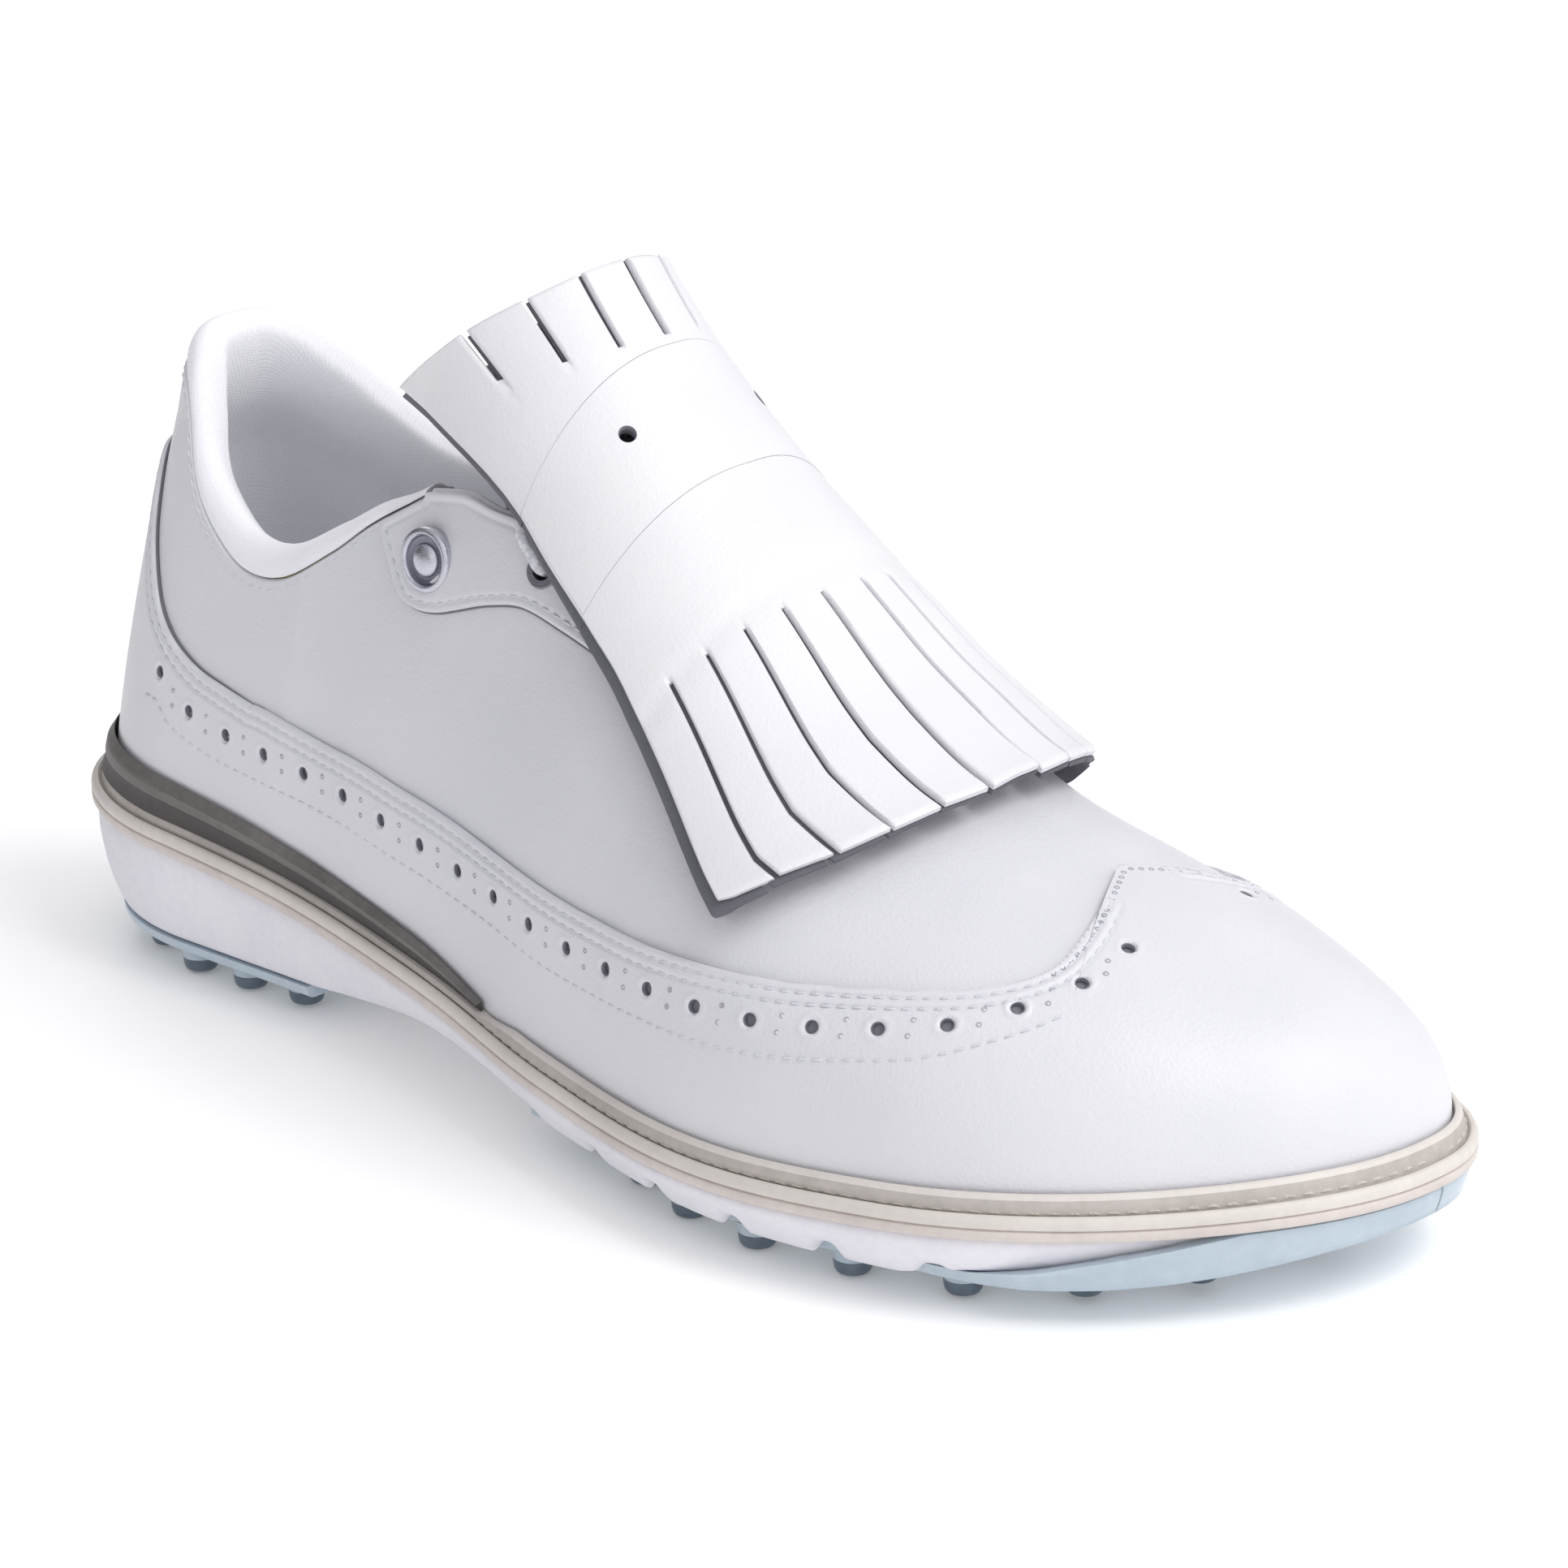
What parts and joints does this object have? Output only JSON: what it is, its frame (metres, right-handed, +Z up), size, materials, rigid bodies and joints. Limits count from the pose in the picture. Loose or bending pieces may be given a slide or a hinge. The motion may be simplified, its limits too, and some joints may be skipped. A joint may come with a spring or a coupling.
{
  "type": "golf shoe",
  "caption": "White leather golf shoe with a fringed kiltie over the instep, long wing overlays with punched holes, padded collar, storm welt and a lugged rubber outsole.",
  "frame": {"origin": "centre of the bounding box in plan, on the plane the lugs stand on", "axes": "+X toward the toe, +Y toward the medial side of the right shoe, +Z up"},
  "size_m": [0.2824, 0.1048, 0.1381],
  "materials": {
    "outsole_rubber": "translucent satin",
    "midsole_foam": "matte foam",
    "shank_steel": "brushed",
    "fibre_board": "matte",
    "footbed_foam": "matte",
    "welt_strip": "satin",
    "rand_strip": "matte",
    "lining_textile": "soft",
    "collar_foam": "open foam",
    "stiffener": "matte",
    "white_leather": "smooth, fine grain",
    "button_plastic": "satin",
    "eyelet_metal": "satin",
    "tongue_textile": "woven",
    "lace_cord": "woven",
    "grey_backing": "matte suede"
  },
  "bodies": {
    "shoe": {"outsole_heel": "outsole_rubber", "outsole_forefoot": "outsole_rubber", "midsole": "midsole_foam", "shank": "shank_steel", "insole_board": "fibre_board", "footbed": "footbed_foam", "welt": "welt_strip", "heel_rand": "rand_strip", "vamp_lining": "lining_textile", "collar_lining": "lining_textile", "collar_pad": "collar_foam", "heel_counter": "stiffener", "toe_puff": "stiffener", "vamp": "white_leather", "quarter_lateral": "white_leather", "quarter_medial": "white_leather", "long_wing": "white_leather", "eyestay_lateral": "white_leather", "eyestay_medial": "white_leather", "side_button": "button_plastic", "eyelets": "eyelet_metal", "tongue": "tongue_textile", "lace": "lace_cord", "kiltie_saddle": "white_leather", "kiltie_saddle_backing": "grey_backing"},
    "tongue_tip": {"tongue_tip": "tongue_textile"},
    "kiltie_apron": {"kiltie_apron": "white_leather", "kiltie_apron_backing": "grey_backing"},
    "kiltie_top": {"kiltie_top": "white_leather", "kiltie_top_backing": "grey_backing"}
  },
  "joints": [
    {"name": "kiltie_lift", "type": "hinge", "parent": "shoe", "child": "kiltie_apron", "pos_m": [0.00854, 0, 0.10906], "axis": [0, -1, 0], "range_deg": [0, 60]},
    {"name": "tongue_fold", "type": "hinge", "parent": "shoe", "child": "tongue_tip", "pos_m": [-0.00879, 0, 0.12578], "axis": [0, 1, 0], "range_deg": [0, 12], "stiffness_Nm_per_rad": 0.01},
    {"name": "top_fringe_lift", "type": "hinge", "parent": "tongue_tip", "child": "kiltie_top", "pos_m": [-0.00879, 0, 0.12578], "axis": [0, 1, 0], "range_deg": [0, 50]}
  ]
}
